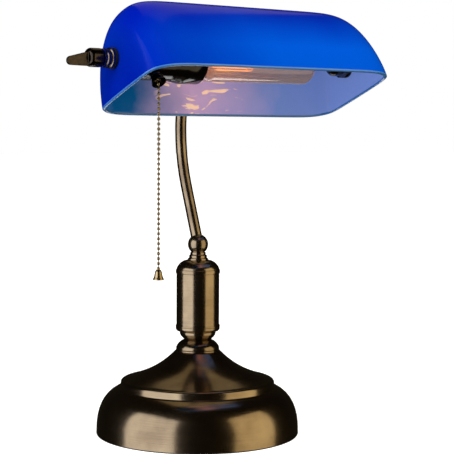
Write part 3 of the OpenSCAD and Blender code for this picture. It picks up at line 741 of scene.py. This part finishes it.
def shade_mesh(thick, corner):
    """Points, faces and material numbers of the shade: outer wall, round edge, inner wall, both crests."""
    around, levels, edge_steps = 256, 44, 8
    angles = [2 * pi * (i + 0.5) / around for i in range(around)]
    top = radians(89)
    low = asin((thick / 2 / SHADE_HEIGHT) ** (CREST_POWER / 2))   # where the wall meets the round edge
    climb = [low + (top - low) * (j / levels) for j in range(levels + 1)]
    rows = [(v, 0, 0) for v in reversed(climb)]
    for k in range(1, edge_steps):
        turn = pi * k / edge_steps
        rows.append((0, thick / 2 * (1 - cos(turn)), thick / 2 * (1 - sin(turn))))
    rows += [(v, thick, 0) for v in climb]
    tilt = Matrix.Rotation(radians(SHADE_LEAN), 3, "X")
    points = [PIVOT + tilt @ Vector(trough_point(u, v, inset, lift, corner)) * MM
              for v, inset, lift in rows for u in angles]
    faces, numbers = [], []
    for j in range(len(rows) - 1):
        part = 0 if j < levels else (2 if j >= levels + edge_steps else 1)
        for i in range(around):
            k = (i + 1) % around
            here, below = j * around, (j + 1) * around
            faces.append((here + i, here + k, below + k, below + i))
            numbers.append(part)
    last = (len(rows) - 1) * around
    for start, turned, part in ((0, False, 0), (last, True, 2)):
        for i in range(around // 2 - 1):
            strip = (start + i, start + i + 1, start + around - 2 - i, start + around - 1 - i)
            faces.append(strip if turned else strip[::-1])
            numbers.append(part)
    return points, faces, numbers


class LAMP_OT_shade(bpy.types.Operator):
    """Make the cased glass shade and its rubber bushes"""
    bl_idname = "lamp.shade"
    bl_label = "Shade"

    def execute(self, context):
        size = sizes()
        points, faces, numbers = shade_mesh(size.glass_thickness / MM, size.glass_corner / MM)
        layers = [finish(cobalt_glass), finish(polished_glass_edge), finish(opal_casing)]
        blank = solid("shade_blank", points, faces, layers, numbers)
        work = bmesh.new()
        work.from_mesh(blank.data)
        bmesh.ops.recalc_face_normals(work, faces=work.faces)
        work.to_mesh(blank.data)
        work.free()
        drill = bpy.data.meshes.new("drill")
        hole = 7 * MM                              # radius of the holes for the bushes
        through = 0.4                              # long enough to pass both ends
        along_pivot = Matrix.Translation(PIVOT) @ Matrix.Rotation(pi / 2, 4, "Y")
        work = bmesh.new()
        bmesh.ops.create_cone(work, cap_ends=True, segments=64, radius1=hole, radius2=hole, depth=through,
                              matrix=along_pivot)
        work.to_mesh(drill)
        work.free()
        cutter = linked(bpy.data.objects.new("drill", drill))
        cut = blank.modifiers.new("bush_holes", "BOOLEAN")
        cut.object = cutter
        cut.operation = "DIFFERENCE"
        glass = evaluated_mesh(blank, "glass_shade")
        bpy.data.objects.remove(cutter)
        glass.data.set_sharp_from_angle(angle=radians(55))
        stand_for(glass, "blue_glass", "shade_glass")
        for node in ("shade_bush_left", "shade_bush_right"):
            finish_node(node, finish(moulded_rubber), "rubber")
        return {"FINISHED"}


# ---- metalwork ----

class LAMP_OT_base(bpy.types.Operator):
    """Finish the bell base and what is under it"""
    bl_idname = "lamp.base"
    bl_label = "Base"

    def execute(self, context):
        finish_node("base_shell", finish(turned_antique_brass), "antique_brass", 28)
        finish_node("felt_pad", finish(pressed_felt), "felt")
        finish_node("cable_grommet", finish(moulded_rubber), "rubber")
        dress(finish(cast_iron), "base_weight")
        dress(finish(zinc_plated_steel), "bottom_plate", "plate_screws", "threaded_rod", "rod_washer",
              "rod_nut")
        dress(finish(nylon), "terminal_block")
        return {"FINISHED"}


class LAMP_OT_column(bpy.types.Operator):
    """Finish the turned column with its collar, cup, cap and neck ring"""
    bl_idname = "lamp.column"
    bl_label = "Column"

    def execute(self, context):
        for node in ("base_collar", "column_cup", "column_tube", "column_cap", "neck_ring"):
            finish_node(node, finish(turned_antique_brass), "antique_brass", 32)
        return {"FINISHED"}


class LAMP_OT_stem(bpy.types.Operator):
    """Finish the bent stem, the yoke and its turned eyes"""
    bl_idname = "lamp.stem"
    bl_label = "Stem and yoke"

    def execute(self, context):
        for node in ("elbow_ball", "stem_tube", "yoke_hub", "yoke_arm_left", "yoke_arm_right",
                     "yoke_eye_left", "yoke_eye_right"):
            finish_node(node, finish(drawn_antique_brass), "antique_brass", 40)
        dress(finish(braided_sleeve), "internal_lead")
        return {"FINISHED"}


def cast_copy(node, name):
    """A CAD node's shape with the soft edges of a casting."""
    piece = merged_copy(node, name + "_blank")
    skin = piece.modifiers.new("skin", "REMESH")
    skin.mode = "VOXEL"
    skin.voxel_size = 0.3 * MM
    ease = piece.modifiers.new("ease", "SMOOTH")
    ease.iterations = 5
    made = evaluated_mesh(piece, name)
    made.data.shade_smooth()
    return made


class LAMP_OT_knobs(bpy.types.Operator):
    """Make the two lever knobs and finish the fastenings of the pivot"""
    bl_idname = "lamp.knobs"
    bl_label = "Knobs and pivot"

    def execute(self, context):
        for side in ("left", "right"):
            knob = cast_copy("knob_" + side, "lever_knob_" + side)
            knob.data.materials.append(finish(painted_shade_brass))
            stand_for(knob, "antique_brass", "knob_" + side)
            finish_node("washer_" + side, finish(painted_shade_brass), "antique_brass")
        finish_node("acorn_nut", finish(painted_shade_brass), "antique_brass", 28)
        dress(finish(zinc_plated_steel), "pivot_nipple", "pivot_stud", "nipple_nut")
        return {"FINISHED"}


class LAMP_OT_lampholder(bpy.types.Operator):
    """Finish the lampholder and the pull switch inside it"""
    bl_idname = "lamp.lampholder"
    bl_label = "Lampholder"

    def execute(self, context):
        finish_node("holder_cap", finish(black_bakelite), "black_shell", 40)
        finish_node("switch_housing", finish(black_bakelite), "black_shell", 30)
        finish_node("holder_shell", finish(black_bakelite), "black_shell", 50)
        finish_node("chain_mouth", finish(painted_shade_brass), "antique_brass", 50)
        dress(finish(brown_phenolic), "switch_case", "switch_cover", "socket_core")
        dress(finish(stamped_brass), "switch_rotor", "screw_shell", "centre_contact", "pull_rod")
        dress(finish(zinc_plated_steel), "switch_spring")
        return {"FINISHED"}


# ---- bulb ----

def filament_tree():
    """A wire that runs up and down round a cage of straight strands."""
    tree, given = new_tree("filament_cage", [("Strands", "Int"), ("Cage radius", "Float"),
                                             ("Start", "Float"), ("Height", "Float"),
                                             ("Wire radius", "Float"), ("Carbon", "Material")])
    doubled = add(tree, "ShaderNodeMath", {0: given["Strands"], 1: 2.0}, operation="MULTIPLY")
    line = add(tree, "GeometryNodeMeshLine", {"Count": doubled.outputs[0]})
    index = add(tree, "GeometryNodeInputIndex").outputs[0]
    halved = add(tree, "ShaderNodeMath", {0: index, 1: 2.0}, operation="DIVIDE")
    strand = add(tree, "ShaderNodeMath", {0: halved.outputs[0]}, operation="FLOOR")
    turn = add(tree, "ShaderNodeMath", {0: strand.outputs[0], 1: 2 * pi}, operation="MULTIPLY")
    angle = add(tree, "ShaderNodeMath", {0: turn.outputs[0], 1: given["Strands"]}, operation="DIVIDE")
    after = add(tree, "ShaderNodeMath", {0: index, 1: 1.0}, operation="ADD")
    step = add(tree, "ShaderNodeMath", {0: after.outputs[0], 1: 4.0}, operation="MODULO")
    half_step = add(tree, "ShaderNodeMath", {0: step.outputs[0], 1: 2.0}, operation="DIVIDE")
    raised = add(tree, "ShaderNodeMath", {0: half_step.outputs[0]}, operation="FLOOR")
    along = add(tree, "ShaderNodeMath", {0: raised.outputs[0], 1: given["Height"], 2: given["Start"]},
                operation="MULTIPLY_ADD")
    across = add(tree, "ShaderNodeMath", {0: angle.outputs[0]}, operation="COSINE")
    side = add(tree, "ShaderNodeMath", {0: across.outputs[0], 1: given["Cage radius"]}, operation="MULTIPLY")
    up = add(tree, "ShaderNodeMath", {0: angle.outputs[0]}, operation="SINE")
    rise = add(tree, "ShaderNodeMath", {0: up.outputs[0], 1: given["Cage radius"]}, operation="MULTIPLY")
    place = add(tree, "ShaderNodeCombineXYZ",
                {0: along.outputs[0], 1: side.outputs[0], 2: rise.outputs[0]})
    moved = add(tree, "GeometryNodeSetPosition",
                {"Geometry": line.outputs[0], "Position": place.outputs[0]})
    path = add(tree, "GeometryNodeMeshToCurve", {"Mesh": moved.outputs[0]})
    section = add(tree, "GeometryNodeCurvePrimitiveCircle",
                  {"Resolution": 8, "Radius": given["Wire radius"]})
    wire = add(tree, "GeometryNodeCurveToMesh",
               {"Curve": path.outputs[0], "Profile Curve": section.outputs[0], "Fill Caps": True})
    close_tree(tree, wire.outputs[0], given["Carbon"])
    return tree


class LAMP_OT_bulb(bpy.types.Operator):
    """Make the bulb's filament and finish its glass and cap"""
    bl_idname = "lamp.bulb"
    bl_label = "Bulb"

    def execute(self, context):
        size = sizes()
        low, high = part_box("filament")
        values = {"Strands": size.filament_strands, "Cage radius": size.filament_cage, "Start": low.x,
                  "Height": high.x - low.x, "Wire radius": size.filament_wire / 2,
                  "Carbon": finish(glowing_filament)}
        start = polyline("filament_line", [(0, 0, 0), (0.01, 0, 0)])       # the tree makes its own line
        cage = run_tree(start, filament_tree(), values, "filament_cage")
        cage.data.transform(Matrix.Translation((0, PIVOT.y, PIVOT.z)))
        stand_for(cage, "filament", "filament")
        finish_node("bulb_glass", finish(blown_glass), "clear_glass", 60)
        finish_node("bulb_mount", finish(blown_glass), "clear_glass", 60)
        finish_node("bulb_cap", finish(nickel_plate), "bulb_nickel", 50)
        dress(finish(nickel_plate), "bulb_contact")
        return {"FINISHED"}


STEPS = (LAMP_OT_stage, LAMP_OT_chain, LAMP_OT_shade, LAMP_OT_base, LAMP_OT_column, LAMP_OT_stem,
         LAMP_OT_knobs, LAMP_OT_lampholder, LAMP_OT_bulb)


class LAMP_PT_panel(bpy.types.Panel):
    """Sizes, colours and steps of the lamp"""
    bl_label = "Banker desk lamp"
    bl_idname = "LAMP_PT_panel"
    bl_space_type = "VIEW_3D"
    bl_region_type = "UI"
    bl_category = "Lamp"

    def draw(self, context):
        for group in (context.scene.lamp_sizes, context.scene.lamp_colours, context.scene.lamp_stage):
            box = self.layout.box()
            for value in group.__annotations__:
                box.prop(group, value)
        for step in STEPS:
            self.layout.operator(step.bl_idname)


CLASSES = (LampSizes, LampColours, StageSettings, *STEPS, LAMP_PT_panel)


def register():
    for each in CLASSES:
        bpy.utils.register_class(each)
    bpy.types.Scene.lamp_sizes = PointerProperty(type=LampSizes)
    bpy.types.Scene.lamp_colours = PointerProperty(type=LampColours)
    bpy.types.Scene.lamp_stage = PointerProperty(type=StageSettings)


def unregister():
    for group in ("lamp_sizes", "lamp_colours", "lamp_stage"):
        delattr(bpy.types.Scene, group)
    for each in reversed(CLASSES):
        bpy.utils.unregister_class(each)


def main():
    register()
    for step in STEPS:
        group, name = step.bl_idname.split(".")
        getattr(getattr(bpy.ops, group), name)()


if __name__ == "__main__":
    main()
